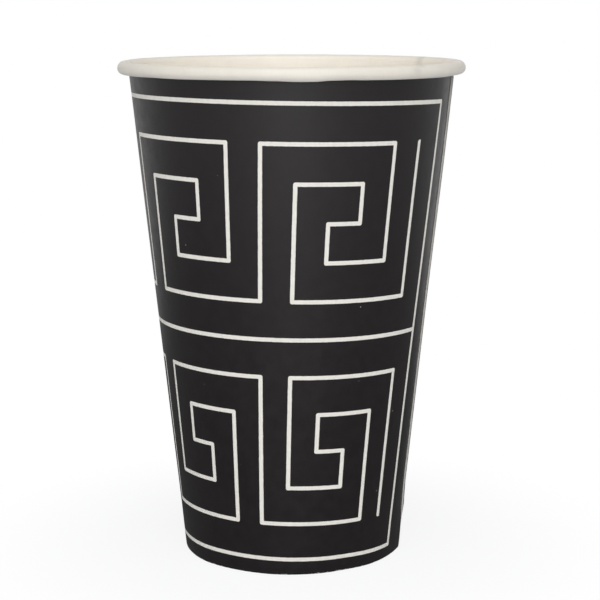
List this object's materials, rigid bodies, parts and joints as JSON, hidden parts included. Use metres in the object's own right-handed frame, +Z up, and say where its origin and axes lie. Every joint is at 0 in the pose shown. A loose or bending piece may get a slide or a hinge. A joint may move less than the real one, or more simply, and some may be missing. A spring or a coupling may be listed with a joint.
{
  "type": "paper cup",
  "caption": "Tall tapered single-wall paper cup with a rolled rim, a lapped side seam, a recessed base and a black printed wall with white line pattern.",
  "frame": {"origin": "centre of the ring that the cup stands on", "axes": "+Z up along the cup's axis toward the mouth, front toward -Y, side seam toward +X"},
  "size_m": [0.08, 0.08, 0.115],
  "materials": {
    "printed_board": "satin black print outside with white line pattern, bare white coated board inside and on the rolled rim",
    "white_board": "bare white board, thinly coated on the inside"
  },
  "bodies": {
    "root": {"sidewall": "printed_board", "base": "white_board"}
  },
  "joints": []
}
